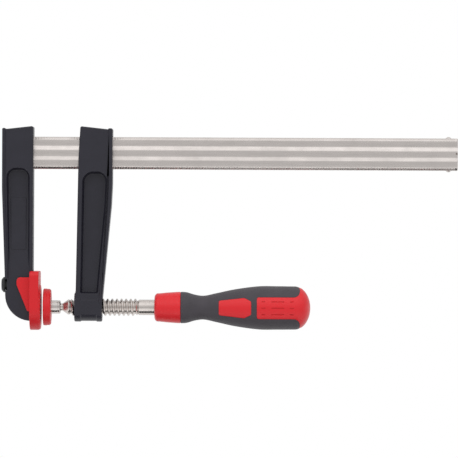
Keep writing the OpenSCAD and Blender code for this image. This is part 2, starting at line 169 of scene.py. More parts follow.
def shade(obj, smooth_angle=32):
    """Smooth shading, with sharp edges where faces meet at a larger angle."""
    obj.data.shade_smooth()
    obj.data.set_sharp_from_angle(angle=math.radians(smooth_angle))


def weighted(obj):
    """Keeps flat faces flat beside small rounded edges."""
    mod = obj.modifiers.new("weighted", "WEIGHTED_NORMAL")
    mod.keep_sharp = True
    mod.weight = 80


def ring_verts(bm, points):
    """New vertices at the points."""
    return [bm.verts.new(p) for p in points]


def bridge(bm, a, b):
    """Joins two closed rings of vertices by quads."""
    n = len(a)
    for i in range(n):
        bm.faces.new((a[i], a[(i + 1) % n], b[(i + 1) % n], b[i]))


def plate(ring, half, edge_r, to_3d, edge_steps=4, centre=0.0):
    """A closed plate of thickness 2 * half with rounded edges, from a shape's ring function."""
    bm = bmesh.new()
    rings = []
    for side in (FRONT, BACK):
        shares = [k / max(1, edge_steps) for k in range(edge_steps + 1)]
        for share in shares if side == BACK else reversed(shares):
            angle = math.pi / 2 * share
            depth = centre + side * (half - edge_r * (1 - math.sin(angle)))
            points = ring(edge_r * (1 - math.cos(angle)))
            rings.append(ring_verts(bm, [to_3d(p, depth) for p in points]))
    close_tube(bm, rings)
    return bm


def close_tube(bm, rings):
    """Joins rings of vertices one after another and caps both ends with triangles."""
    for a, b in zip(rings, rings[1:]):
        bridge(bm, a, b)
    caps = [bm.faces.new(rings[0]), bm.faces.new(rings[-1])]
    bmesh.ops.triangulate(bm, faces=caps, ngon_method="EAR_CLIP")


def in_xz(p, depth):
    """An outline's point in the X-Z plane, for a plate across Y."""
    return (p.x, depth, p.y)


def in_yz(p, depth):
    """An outline's point in the Y-Z plane, for a plate across X."""
    return (depth, p.x, p.y)


def lathe(profile, segments=96, centre=(0, 0)):
    """Turns [x, radius] points about an axis along X; ends at radius 0 are closed."""
    bm = bmesh.new()
    rings = []
    for x, r in profile:
        if r < 1e-6:
            rings.append([bm.verts.new((x, centre[0], centre[1]))])
            continue
        rings.append([bm.verts.new((x, centre[0] - r * math.cos(math.tau * k / segments),
                                    centre[1] + r * math.sin(math.tau * k / segments)))
                      for k in range(segments)])
    for a, b in zip(rings, rings[1:]):
        if len(a) == 1 and len(b) == 1:
            continue
        for k in range(segments):
            m = (k + 1) % segments
            if len(a) == 1:
                bm.faces.new((a[0], b[m], b[k]))
            elif len(b) == 1:
                bm.faces.new((a[k], a[m], b[0]))
            else:
                bm.faces.new((a[k], a[m], b[m], b[k]))
    return bm


def closed_lathe(profile, segments=96, centre=(0, 0)):
    """Turns a closed loop of [x, radius] points, such as a tube's section."""
    return lathe(list(profile) + [profile[0]], segments, centre)


def soft_profile(corners, sweep_step=18):
    """[x, r, fillet] corners of an open profile, its inner corners rounded."""
    xy = [Vector(c[:2]) for c in corners]
    out = [xy[0]]
    for i in range(1, len(corners) - 1):
        out += corner_arc(xy[i - 1], xy[i], xy[i + 1], corners[i][2], sweep_step)
    out.append(xy[-1])
    return [(p.x, p.y) for p in out]


def cut_level(bm, z):
    """Adds the edges where a level plane at height z meets the mesh."""
    everything = bm.verts[:] + bm.edges[:] + bm.faces[:]
    bmesh.ops.bisect_plane(bm, geom=everything, plane_co=(0, 0, z), plane_no=(0, 0, 1))


def box_mesh(low, high):
    """A box between two corners."""
    bm = bmesh.new()
    bmesh.ops.create_cube(bm, size=1)
    size = Vector(high) - Vector(low)
    middle = (Vector(high) + Vector(low)) / 2
    bmesh.ops.scale(bm, vec=size, verts=bm.verts)
    bmesh.ops.translate(bm, vec=middle, verts=bm.verts)
    return bm


def combine(obj, bm, operation):
    """Joins, cuts or keeps an object's overlap with a bmesh in millimetres."""
    tool = new_object("tool", bm)
    mod = obj.modifiers.new("combine", "BOOLEAN")
    mod.operation = operation
    mod.solver = "MANIFOLD"
    mod.object = tool
    apply_modifiers(obj)
    bpy.data.objects.remove(tool)


def apply_modifiers(obj):
    """Makes the result of an object's modifiers its mesh."""
    bpy.context.view_layer.update()
    evaluated = obj.evaluated_get(bpy.context.evaluated_depsgraph_get())
    mesh = bpy.data.meshes.new_from_object(evaluated)
    obj.modifiers.clear()
    old = obj.data
    obj.data = mesh
    bpy.data.meshes.remove(old)


def taken_mesh(obj):
    """An object's mesh as a bmesh in millimetres; the object goes."""
    bm = bmesh.new()
    bm.from_mesh(obj.data)
    bmesh.ops.scale(bm, vec=(1 / MM, 1 / MM, 1 / MM), verts=bm.verts)
    bpy.data.objects.remove(obj)
    return bm


def join_bmesh(parts):
    """One bmesh from several, such as tools that don't touch each other."""
    whole = bmesh.new()
    for part in parts:
        mesh = bpy.data.meshes.new("part")
        part.to_mesh(mesh)
        part.free()
        whole.from_mesh(mesh)
        bpy.data.meshes.remove(mesh)
    return whole


def place(obj, name, material, body, slot, *nodes):
    """Names a finished piece, gives it its material, and sets it in the frame."""
    obj.name = name
    obj.data.name = name
    obj.data.materials.clear()
    obj.data.materials.append(material)
    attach(obj, body)
    if nodes:
        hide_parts(*nodes)
    return obj


# ---------------------------------------------------------------- materials

class Tree:
    """A small helper for a node tree."""

    def __init__(self, tree):
        self.tree = tree

    def add(self, kind, **settings):
        """A new node with its settings."""
        node = self.tree.nodes.new(kind)
        for key, value in settings.items():
            setattr(node, key, value)
        return node

    def link(self, source, target):
        """Joins an output to an input."""
        self.tree.links.new(source, target)

    def ramp(self, factor, stops):
        """A colour ramp of (position, colour or grey) stops."""
        node = self.add("ShaderNodeValToRGB")
        elements = node.color_ramp.elements
        while len(elements) < len(stops):
            elements.new(0.5)
        for element, (position, colour) in zip(elements, stops):
            if not isinstance(colour, tuple):
                colour = (colour, colour, colour)
            element.position = position
            element.color = (*colour, 1)
        self.link(factor, node.inputs["Fac"])
        return node.outputs["Color"]

    def mix(self, factor, a, b):
        """A colour between a and b; each of the three may be a socket or a value."""
        node = self.add("ShaderNodeMix", data_type="RGBA")
        for value, socket in ((factor, node.inputs[0]), (a, node.inputs[6]), (b, node.inputs[7])):
            if isinstance(value, bpy.types.NodeSocket):
                self.link(value, socket)
            elif isinstance(value, tuple):
                socket.default_value = (*value, 1)
            else:
                socket.default_value = value
        return node.outputs[2]

    def by_ray(self, lighting, seen):
        """One shader for the camera's own rays and another for all other rays."""
        path = self.add("ShaderNodeLightPath")
        mix = self.add("ShaderNodeMixShader")
        self.link(path.outputs["Is Camera Ray"], mix.inputs[0])
        self.link(lighting.outputs[0], mix.inputs[1])
        self.link(seen.outputs[0], mix.inputs[2])
        return mix.outputs[0]


class Nodes(Tree):
    """A material with a Principled shader and the textures that feed it."""

    def __init__(self, name):
        self.material = bpy.data.materials.new(name)
        self.material.use_nodes = True
        super().__init__(self.material.node_tree)
        self.shader = self.tree.nodes["Principled BSDF"]
        self.coords = self.add("ShaderNodeTexCoord").outputs["Object"]

    def stretched(self, scale):
        """Object coordinates with each axis scaled."""
        mapping = self.add("ShaderNodeMapping")
        mapping.inputs["Scale"].default_value = scale
        self.link(self.coords, mapping.inputs["Vector"])
        return mapping.outputs["Vector"]

    def noise(self, per_metre, detail=2.0, roughness=0.5, vector=None):
        """Noise in the object's own coordinates."""
        tex = self.add("ShaderNodeTexNoise")
        tex.inputs["Scale"].default_value = per_metre
        tex.inputs["Detail"].default_value = detail
        tex.inputs["Roughness"].default_value = roughness
        self.link(vector or self.coords, tex.inputs["Vector"])
        return tex.outputs["Fac"]

    def bump(self, height, strength, distance_mm, below=None):
        """A bumped normal, on top of another one if given."""
        node = self.add("ShaderNodeBump")
        node.inputs["Strength"].default_value = strength
        node.inputs["Distance"].default_value = distance_mm * MM
        self.link(height, node.inputs["Height"])
        if below is not None:
            self.link(below, node.inputs["Normal"])
        return node.outputs["Normal"]

    def set(self, **values):
        """Sets constant values on the shader's sockets."""
        for key, value in values.items():
            self.shader.inputs[key.replace("_", " ")].default_value = value

    def feed(self, socket, source):
        """Links an output to one of the shader's sockets."""
        self.link(source, self.shader.inputs[socket])


def casting_paint():
    """Satin blue-black powder coat with a fine orange peel."""
    m = Nodes("casting_paint")
    m.set(Metallic=0.0)
    mottle = m.noise(90, 4, 0.6)
    grain = m.noise(900, 3, 0.6)
    colour = m.ramp(mottle, [(0.3, (0.0125, 0.0118, 0.0200)), (0.7, (0.0160, 0.0152, 0.0250))])
    m.feed("Base Color", colour)
    m.feed("Roughness", m.ramp(grain, [(0.3, 0.36), (0.7, 0.46)]))
    peel = m.noise(420, 2, 0.5)
    coarse = m.bump(peel, 0.35, 0.12)
    m.feed("Normal", m.bump(grain, 0.25, 0.04, coarse))
    return m.material


def plated_steel(name, base, rough, along=(40, 900, 900), wave=0.18, recess_shade=0.0):
    """Nickel or zinc plated steel: faint drawn lines along X, soft clouds and fine grain; the last argument
    sets how strongly painted shade darkens its hollows where ambient occlusion finds them.
    """
    m = Nodes(name)
    m.set(Metallic=1.0)
    lines = m.noise(1.0, 3, 0.6, m.stretched(along))
    clouds = m.noise(55, 4, 0.65)
    fine = m.noise(1400, 2, 0.5)
    dull = tuple(c * 0.86 for c in base)
    colour = m.mix(m.ramp(clouds, [(0.35, 0.0), (0.75, 1.0)]), base, dull)
    colour = m.mix(m.ramp(lines, [(0.45, 0.0), (0.75, 0.35)]), colour, tuple(c * 0.72 for c in base))
    if recess_shade:
        # Painted shade: ambient occlusion darkens the tooth and thread hollows towards dark brown, standing
        # in for the shade that falls there.
        occlusion = m.add("ShaderNodeAmbientOcclusion", samples=8, only_local=True)
        occlusion.inputs["Distance"].default_value = 1.6 * MM
        painted_recess_shade = m.ramp(occlusion.outputs["AO"], [(0.25, recess_shade), (0.8, 0.0)])
        colour = m.mix(painted_recess_shade, colour, (0.10, 0.085, 0.075))
    m.feed("Base Color", colour)
    m.feed("Roughness", m.ramp(clouds, [(0.3, rough - 0.05), (0.75, rough + 0.08)]))
    first = m.bump(lines, wave, 0.03)
    m.feed("Normal", m.bump(fine, 0.15, 0.015, first))
    return m.material


def moulded_plastic(name, light, dark, rough, peel=0.12):
    """Moulded plastic with a faint flow pattern and a fine skin texture."""
    m = Nodes(name)
    m.set(Metallic=0.0, IOR=1.5, Specular_IOR_Level=0.4)
    flow = m.noise(38, 3, 0.55)
    skin = m.noise(1300, 2, 0.5)
    m.feed("Base Color", m.mix(flow, light, dark))
    m.feed("Roughness", m.ramp(flow, [(0.3, rough - 0.04), (0.7, rough + 0.05)]))
    wavy = m.bump(m.noise(160, 2, 0.5), peel, 0.06)
    m.feed("Normal", m.bump(skin, 0.06, 0.012, wavy))
    return m.material


def soft_grip():
    """Dark grey rubber with a fine matt skin."""
    m = Nodes("soft_grip")
    m.set(Metallic=0.0, Sheen_Weight=0.08, Sheen_Roughness=0.5, Specular_IOR_Level=0.42)
    flow = m.noise(60, 3, 0.6)
    skin = m.noise(1700, 3, 0.6)
    m.feed("Base Color", m.ramp(flow, [(0.3, (0.050, 0.044, 0.052)), (0.7, (0.060, 0.053, 0.063))]))
    m.feed("Roughness", m.ramp(skin, [(0.3, 0.52), (0.7, 0.66)]))
    m.feed("Normal", m.bump(skin, 0.3, 0.03))
    return m.material


PAINT = casting_paint()
# The last number given to each steel sets its painted shade in the tooth and thread hollows.
BAR_STEEL = plated_steel("bar_steel", (0.80, 0.745, 0.715), 0.27, wave=0.05, recess_shade=0.6)
SPINDLE_STEEL = plated_steel("spindle_steel", (0.74, 0.685, 0.65), 0.24, (300, 300, 300), 0.06, 0.75)
SLEEVE_STEEL = plated_steel("sleeve_steel", (0.72, 0.68, 0.65), 0.22, (300, 200, 200), 0.06, 0.3)
RED = moulded_plastic("red_plastic", (0.70, 0.013, 0.020), (0.67, 0.011, 0.018), 0.38, 0.05)
HANDLE_RED = moulded_plastic("handle_red_plastic", (0.76, 0.018, 0.026), (0.73, 0.016, 0.024),
                             0.30, 0.04)
BLACK = moulded_plastic("black_plastic", (0.018, 0.018, 0.020), (0.024, 0.024, 0.027), 0.42)
BRONZE = plated_steel("bronze", (0.60, 0.42, 0.20), 0.3)
GRIP = soft_grip()


# ---------------------------------------------------------------- camera, light and floor

CAMERA_AWAY_M = 3.2
CAMERA_ROLL = -0.25         # degrees
CAMERA_LENS = 289.0
CAMERA_SHIFT_M = -0.0005    # sideways, from the middle of the clamp

# Brightness of the studio by height, from straight down at 0 to straight up at 1
FRONT_BANDS = [(0.0, 0.02), (0.07, 0.02), (0.11, 1.30), (0.30, 1.00), (0.45, 0.56), (0.55, 0.58),
               (0.70, 0.75), (0.85, 1.10), (1.0, 0.95)]
BACK_BANDS = [(0.0, 0.95), (0.5, 0.85), (0.6, 0.55), (1.0, 0.85)]


def set_view():
    """Level and square on to the clamp's side."""
    centre = (CAD_LOW + CAD_HIGH) / 2
    camera = bpy.data.objects.new("camera", bpy.data.cameras.new("camera"))
    bpy.context.scene.collection.objects.link(camera)
    camera.location = (centre.x + CAMERA_SHIFT_M, -CAMERA_AWAY_M, centre.z)
    camera.rotation_euler = (math.radians(90), math.radians(CAMERA_ROLL), 0)
    camera.data.lens = CAMERA_LENS
    camera.data.clip_end = 100
    bpy.context.scene.camera = camera


def soft_box(name, place_m, size_m, power):
    """A rectangular light aimed at the middle of the clamp, unseen by the camera itself."""
    light = bpy.data.lights.new(name, "AREA")
    light.shape = "RECTANGLE"
    light.size, light.size_y = size_m
    light.energy = power
    obj = bpy.data.objects.new(name, light)
    bpy.context.scene.collection.objects.link(obj)
    obj.location = place_m
    aim = (CAD_LOW + CAD_HIGH) / 2 - Vector(place_m)
    obj.rotation_euler = aim.to_track_quat("-Z", "Y").to_euler()
    obj.visible_camera = False
    obj.visible_glossy = False


def set_world():
    """White where it is seen; what it lights is banded, as a shallow studio round a flat table is."""
    world = bpy.data.worlds.new("studio")
    bpy.context.scene.world = world
    world.use_nodes = True
    world.node_tree.nodes.clear()
    t = Tree(world.node_tree)
    axes = t.add("ShaderNodeSeparateXYZ")
    t.link(t.add("ShaderNodeTexCoord").outputs["Generated"], axes.inputs[0])
    height = t.add("ShaderNodeMapRange")
    height.inputs["From Min"].default_value = -1.0
    t.link(axes.outputs["Z"], height.inputs["Value"])
    behind = t.add("ShaderNodeMapRange", interpolation_type="SMOOTHSTEP")
    behind.inputs["From Min"].default_value = 0.0
    behind.inputs["From Max"].default_value = 0.12
    t.link(axes.outputs["Y"], behind.inputs["Value"])
    front, back = (t.ramp(height.outputs["Result"], bands) for bands in (FRONT_BANDS, BACK_BANDS))
    lighting = t.add("ShaderNodeBackground")
    t.link(t.mix(behind.outputs["Result"], front, back), lighting.inputs["Color"])
    seen = t.add("ShaderNodeBackground")
    seen.inputs["Color"].default_value = (1, 1, 1, 1)
    output = t.add("ShaderNodeOutputWorld")
    t.link(t.by_ray(lighting, seen), output.inputs["Surface"])


FLOOR_SIZE = 20000
FLOOR_GAP = 0.05


def set_floor():
    """A plain white floor under the clamp; gloss shows the studio instead of it."""
    bm = bmesh.new()
    bmesh.ops.create_grid(bm, x_segments=1, y_segments=1, size=FLOOR_SIZE)
    bmesh.ops.translate(bm, vec=(0, 0, CAD_LOW.z / MM - FLOOR_GAP), verts=bm.verts)
    floor = new_object("floor", bm)
    m = Nodes("floor_white")
    bounce = m.add("ShaderNodeEmission")
    bounce.inputs["Strength"].default_value = 0.6
    seen = m.add("ShaderNodeEmission")
    m.link(m.by_ray(bounce, seen), m.tree.nodes["Material Output"].inputs["Surface"])
    floor.data.materials.append(m.material)
    floor.visible_glossy = False


# ---------------------------------------------------------------- bar

GROOVE_FLOOR_H = 5.6
GROOVE_SLOPE_H = 3.3
GROOVE_DEPTH = 1.4
EDGE_BEVEL_H = 2.15
EDGE_BEVEL_D = 1.6
TOOTH_PITCH = 1.4
TOOTH_DEPTH = 0.42
# A tooth's crest and valley: where they start and end, as shares of the pitch
CREST = (0.0, 0.3)
VALLEY = (0.5, 0.8)
START_CHAMFER = 0.5
END_CHAMFER = 0.6
STOP_INSET = 7.9
STOP_R = 2.9


def bar_section(tooth):
    """Half the bar's section as (y, z) points; tooth is how deep the bevels lie below their crests."""
    h = (BAR_Z1 - BAR_Z0) / 2
    t = BAR_T / 2
    floor = GROOVE_FLOOR_H / 2
    edge = floor + GROOVE_SLOPE_H
    corners = [(t - EDGE_BEVEL_D - tooth, h, 0.25), (t, h - EDGE_BEVEL_H - tooth, 0.3), (t, edge, 0.5),
               (t - GROOVE_DEPTH, floor, 0.6), (t - GROOVE_DEPTH, -floor, 0.6), (t, -edge, 0.5),
               (t, EDGE_BEVEL_H + tooth - h, 0.3), (t - EDGE_BEVEL_D - tooth, -h, 0.25)]
    other = [(-y, -z, r) for y, z, r in corners]
    xy = corners + other
    n = len(xy)
    points = []
    for i in range(n):
        before, point, after = (Vector(xy[(i + k) % n][:2]) for k in (-1, 0, 1))
        u = (before - point).normalized() * xy[i][2]
        v = (after - point).normalized() * xy[i][2]
        middle = point + (u + v) / 4
        points += [point + u, middle, point + v]
    return points


def make_bar():
    """The rolled bar with its toothed edges, its end chamfers, its punched stops and end dents."""
    bm = bmesh.new()
    start, end = BAR_LOW.x, BAR_HIGH.x
    plain, toothed = bar_section(0), bar_section(TOOTH_DEPTH)
    rings = []

    def add_ring(x, section, shrink=0.0):
        t = 1 - shrink / (BAR_T / 2)
        h = 1 - shrink / ((BAR_Z1 - BAR_Z0) / 2)
        rings.append(ring_verts(bm, [(x, p.x * t, BAR_MID + p.y * h) for p in section]))

    add_ring(start, plain, START_CHAMFER)
    add_ring(start + START_CHAMFER, plain)
    count = int((end - start - 3) / TOOTH_PITCH)
    for i in range(count):
        x = start + 1.2 + i * TOOTH_PITCH
        for shares, section in ((CREST, plain), (VALLEY, toothed)):
            for share in shares:
                add_ring(x + share * TOOTH_PITCH, section)
    add_ring(end - END_CHAMFER, plain)
    add_ring(end, plain, END_CHAMFER)
    for a, b in zip(rings, rings[1:]):
        bridge(bm, a, b)
    bm.faces.new(rings[0])
    bm.faces.new(rings[-1])
    bar = new_object("bar_body", bm, 40)
    stops = []
    for z, side in ((BAR_Z0 - STOP_RISE + STOP_R, -1), (BAR_Z1 + STOP_RISE - STOP_R, 1)):
        stop = bmesh.new()
        bmesh.ops.create_uvsphere(stop, u_segments=32, v_segments=20, radius=STOP_R)
        bmesh.ops.translate(stop, vec=(end - STOP_INSET, 0, z), verts=stop.verts)
        stops.append(stop)
    combine(bar, join_bmesh(stops), "UNION")
    dents = []
    for side in (FRONT, BACK):
        dent = bmesh.new()
        bmesh.ops.create_cone(dent, segments=24, radius1=2.3, radius2=0.1, depth=3.4, cap_ends=True)
        turn = Matrix.Rotation(math.radians(90 * side), 4, "X")
        tilt = Matrix.Rotation(math.radians(8), 4, "Y")
        bmesh.ops.transform(dent, matrix=turn @ tilt, verts=dent.verts)
        place_y = side * (BAR_T / 2 - GROOVE_DEPTH + 0.35)
        bmesh.ops.translate(dent, vec=(end - 0.9, place_y, BAR_MID + 0.6), verts=dent.verts)
        dents.append(dent)
    combine(bar, join_bmesh(dents), "DIFFERENCE")
    shade(bar, 40)
    place(bar, "bar_rolled", BAR_STEEL, "fixed_frame", "plated_bar", "bar")


# ---------------------------------------------------------------- castings

TAPER_LOW = 30.0
TAPER_TOP = BAR_Z0 - 6


def half_width(z):
    """Half the thickness of a casting at a height."""
    share = min(1.0, max(0.0, (z - TAPER_LOW) / (TAPER_TOP - TAPER_LOW)))
    return (BODY_W + (HEAD_W - BODY_W) * share) / 2


def tapered(bm):
    """Thins a plate of the head's thickness towards the foot."""
    for z in (TAPER_LOW, TAPER_TOP):
        cut_level(bm, z)
    for v in bm.verts:
        v.co.y *= half_width(v.co.z) / (HEAD_W / 2)
    return bm


def cast_plate(ring, proud, edge_r):
    """A casting's outline with its thickness, taper and rounded edges."""
    return tapered(plate(ring, HEAD_W / 2 + proud, edge_r, in_xz))


def pocket_tool(ring, rim_r, draft, floor_r, floor_at=None):
    """Cutters for the same pocket in both sides: rounded rim, drafted wall, filleted floor.

    floor_at gives the floor's distance from the casting's middle at a height.
    """
    rim = []
    for angle in (72, 54, 36, 18, 0):
        a = math.radians(angle)
        rim.append((rim_r * (1 - math.cos(a)), rim_r * (1 - math.sin(a))))
    out, depth = rim[0]
    rim.insert(0, (out + 1.43, depth - 0.46))
    tools = []
    for side in (FRONT, BACK):
        bm = bmesh.new()
        rings = []
        for out, depth in rim:
            points = [(p.x, side * (half_width(p.y) - depth), p.y) for p in ring(-out)]
            rings.append(ring_verts(bm, points))
        for angle in (0, 22, 45, 68, 90):
            a = math.radians(angle)
            y = side * (WEB_T / 2 + floor_r * (1 - math.sin(a)))
            points = [(p.x, y, p.y) for p in ring(draft + floor_r * (1 - math.cos(a)))]
            rings.append(ring_verts(bm, points))
        close_tube(bm, rings)
        if floor_at:
            for z in range(20, 116, 8):
                cut_level(bm, z)
            for v in bm.verts:
                v.co.y = side * max(abs(v.co.y), floor_at(v.co.z))
        tools.append(bm)
    return join_bmesh(tools)


def shield(r, top, corner_r):
    """Straight top, straight sides and a half-round lower end, in (y, z)."""
    return shape((r, top, corner_r), (-r, top, corner_r), (-r, -r, r - 0.01), (r, -r, r - 0.01))


# Places on the fixed jaw, worked out from its own box and its cap's
JAW_X = -6.8            # the casting's front
JAW_BACK_X = JAW_LOW.x
JAW_BACK_STEP = 2.7     # how far the back comes forward from head to foot
FOOT_BACK_X = JAW_BACK_X + JAW_BACK_STEP
FOOT_DROP = 12.0        # the foot's lower end, below the spindle's axis
JAW_RIB_L = 2.8
NOTCH_X = FOOT_BACK_X + 2.0
RIVET_Z = 19.3
RIVET_R = 6.7
RIVET_COLLAR_R = 4.8
STEM_R = 4.0            # the rivet's stem and the cap's tube round its tip
STEM_BORE_R = 4.15
TUBE_BACK_X = -12.0
TUBE_BORE_R = 2.15
HOOK_R = 22.8           # the foot's big round corner
BACK_LOW = 26.0
CAP_FACE_T = 3.0
CAP_LIP_T = 1.5
CAP_WALL = 2.6
CAP_GAP = 0.15
CAP_CORNER_R = 4.0
CAP_BACK_X = -9.3
CAP_R = CAP_HIGH.y
CAP_TOP = CAP_HIGH.z


def jaw_floor(z):
    """Half the web's thickness in the fixed jaw's pockets, which run out at the foot."""
    share = min(1.0, max(0.0, (100 - z) / 76))
    return WEB_T / 2 + (BODY_W / 2 - WEB_T / 2 - 0.05) * share


def make_fixed_jaw():
    """The fixed casting: body, back rib, side pockets, and the land under the cap."""
    back_top = HEAD_TOP - HEAD_FALL
    rib_top = back_top + RIB_LIFT
    back_bend = BAR_Z0 - 18
    back = JAW_BACK_X + RIB_CREASE
    foot = FOOT_BACK_X + RIB_CREASE
    body = shape((JAW_X, HEAD_TOP, 1.5), (back, back_top, 1.2), (back, back_bend, 120),
                 (foot, BACK_LOW, 120), (foot, -FOOT_DROP, HOOK_R - RIB_CREASE), (JAW_X, -FOOT_DROP, 0))
    jaw = new_object("jaw_body", cast_plate(body, 0, BODY_EDGE_R))
    left = JAW_BACK_X + JAW_RIB_L + 1
    right = JAW_X - 3.2
    arch_top = BAR_Z0 + 0.5
    arch_r = (right - left) / 2 - 2
    pocket_low = BACK_LOW - 10
    pocket = shape((left, arch_top, arch_r), (left + JAW_BACK_STEP, pocket_low, 3),
                   (right, pocket_low, 3), (right, arch_top, arch_r))
    combine(jaw, pocket_tool(pocket, 0.9, 0.9, 0.8, jaw_floor), "DIFFERENCE")
    blank_top, blank_low, blank_proud = 95, 50, 0.5
    blank = shape((left + 3.4, blank_top, 1), (left + 4.2, blank_low, 1),
                  (right - 2.8, blank_low, 1), (right - 2.8, blank_top, 1))
    panel = plate(blank, WEB_T / 2 + blank_proud, 0.3, in_xz, 2)
    for v in panel.verts:
        v.co.y += math.copysign(jaw_floor(v.co.z) - WEB_T / 2, v.co.y)
    combine(jaw, panel, "UNION")
    rib_low = BACK_LOW - 1
    rib = shape((JAW_BACK_X + JAW_RIB_L, rib_top, 1), (JAW_BACK_X, rib_top, 1.2),
                (JAW_BACK_X, back_bend, 120), (FOOT_BACK_X, rib_low, 1),
                (FOOT_BACK_X + JAW_RIB_L, rib_low, 1), (JAW_BACK_X + JAW_RIB_L, back_bend, 120))
    combine(jaw, cast_plate(rib, RIB_PROUD, RIB_EDGE_R), "UNION")
    combine(jaw, land(), "UNION")
    combine(jaw, box_mesh((JAW_BACK_X - 1, -BAR_T / 2, BAR_Z0), (JAW_X + 1, BAR_T / 2, BAR_Z1)),
            "DIFFERENCE")
    notch = RIVET_COLLAR_R + CAP_GAP
    combine(jaw, box_mesh((JAW_BACK_X - 1, -HEAD_W, RIVET_Z - notch), (NOTCH_X, HEAD_W, RIVET_Z + notch)),
            "DIFFERENCE")
    stem_hole = [(NOTCH_X - 1, 0), (NOTCH_X - 1, STEM_BORE_R), (1, STEM_BORE_R), (1, 0)]
    combine(jaw, lathe(stem_hole, 48, (0, RIVET_Z)), "DIFFERENCE")
    shade(jaw)
    weighted(jaw)
    place(jaw, "fixed_jaw_casting", PAINT, "fixed_frame", "painted_casting", "fixed_jaw")


def land():
    """The foot's broad front, which the cap snaps over."""
    ring = shield(CAP_R - CAP_WALL - CAP_GAP, CAP_TOP - CAP_WALL - CAP_GAP, CAP_CORNER_R - 1)
    front, back = -CAP_FACE_T, CAP_BACK_X + CAP_LIP_T
    return plate(ring, (front - back) / 2, 0.4, in_yz, 2, (front + back) / 2)


def make_fixed_cap():
    """Red cap over the foot: rim, raised round face, lip behind the land and a wing on each side."""
    face_proud, face_step, face_bevel = 1.2, 0.4, 0.8
    foot_side = BODY_W / 2 + CAP_GAP
    rim = shield(CAP_R, CAP_TOP, CAP_CORNER_R)
    cap = new_object("cap_body", plate(rim, -(CAP_BACK_X + face_proud) / 2, 0.8, in_yz, 4,
                                       (CAP_BACK_X - face_proud) / 2))
    face_r = CAP_R - face_step
    face = soft_profile([(-CAP_FACE_T, 0), (-CAP_FACE_T, face_r, 0), (-face_bevel, face_r, 0.5),
                         (0, face_r - face_bevel, 0.5), (0, 0)])
    combine(cap, lathe(face, 128), "UNION")
    front = -CAP_FACE_T + CAP_GAP
    back = CAP_BACK_X + CAP_LIP_T - CAP_GAP
    hollow = shield(CAP_R - CAP_WALL, CAP_TOP - CAP_WALL, CAP_CORNER_R - 1)
    combine(cap, plate(hollow, (front - back) / 2, 0.3, in_yz, 2, (front + back) / 2), "DIFFERENCE")
    combine(cap, box_mesh((CAP_BACK_X - 1, -foot_side, -FOOT_DROP - CAP_GAP),
                          (JAW_X + CAP_GAP, foot_side, CAP_TOP + 2)), "DIFFERENCE")
    root = CAP_BACK_X + CAP_LIP_T / 2
    tip = CAP_BACK_X - 11.4
    tip_h = 6.5
    upper, lower = RIVET_Z + tip_h, -3.6
    wing_t = 2.4
    wing = shape((root, upper, 0.7), (tip, upper, 3.2), (tip, upper - tip_h, 3),
                 (CAP_BACK_X - 2, lower, 1.2), (root, lower, 0.7))
    for side in (FRONT, BACK):
        combine(cap, plate(wing, wing_t / 2, 0.55, in_xz, 4, side * (foot_side + wing_t / 2)), "UNION")
    root_x, floor_x = -2.5, -4
    tube = [(TUBE_BACK_X, TUBE_BORE_R), (TUBE_BACK_X, STEM_R), (root_x, STEM_R), (root_x, 0),
            (floor_x, 0), (floor_x, TUBE_BORE_R)]
    combine(cap, closed_lathe(tube, 48, (0, RIVET_Z)), "UNION")
    shade(cap)
    weighted(cap)
    place(cap, "fixed_jaw_cap_moulding", RED, "fixed_frame", "red_plastic", "fixed_jaw_cap")


def make_rivet():
    """Black push rivet with a rounded head, a collar, its stem and the pin inside the cap's tube."""
    head = FOOT_BACK_X - 0.05
    head_t = 3.2
    collar = RIVET_COLLAR_R
    stem_x = TUBE_BACK_X - CAP_GAP
    pin_r, pin_x = 2, -6
    profile = soft_profile(
        [(head - head_t, 0), (head - head_t, 4.6, 0.5), (head - 1.4, RIVET_R, 0.5), (head, RIVET_R, 0.2),
         (head, collar, 0.2), (NOTCH_X, collar, 0.2), (NOTCH_X, STEM_R, 0.2), (stem_x, STEM_R, 0.2),
         (stem_x, pin_r, 0.2), (pin_x, pin_r, 0.6), (pin_x, 0)])
    rivet = new_object("rivet", lathe(profile, 64, (0, RIVET_Z)))
    weighted(rivet)
    place(rivet, "cap_rivet_moulding", BLACK, "fixed_frame", "black_plastic", "cap_rivet")


# Places on the sliding arm
BOSS_X = ARM_LOW.x
BOSS_L = 24.2
BOSS_BACK_X = BOSS_X + BOSS_L
BOSS_R = -ARM_LOW.z
BOSS_WAIST = 0.6        # how far the boss's middle lies below its end collars
BOSS_FLAT = 10.3        # half the width across the boss's two flat sides
ARM_X = BOSS_X + 3.3    # the arm's front, at the head
ARM_BACK_X = ARM_HIGH.x
ARM_RIB_L = 3.8
SLOT_GAP = 0.4
THREAD_R = 7.5
THREAD_GAP = 0.3


def make_boss():
    """The spindle's boss: a round barrel with an end collar each side and two flat sides."""
    inner = BOSS_R - BOSS_WAIST
    left, right = BOSS_X + 5.4, BOSS_BACK_X - 4.4
    slope = 0.8
    boss = new_object("boss", lathe(soft_profile(
        [(BOSS_X, 0), (BOSS_X, BOSS_R, 1.1), (left, BOSS_R, 0.5), (left + slope, inner, 0.5),
         (right - slope, inner, 0.5), (right, BOSS_R, 0.5), (BOSS_BACK_X, BOSS_R, 1.1),
         (BOSS_BACK_X, 0)]), 128))
    combine(boss, box_mesh((BOSS_X - 1, -BOSS_FLAT, -2 * BOSS_R), (BOSS_BACK_X + 1, BOSS_FLAT, 2 * BOSS_R)),
            "INTERSECT")
    return taken_mesh(boss)


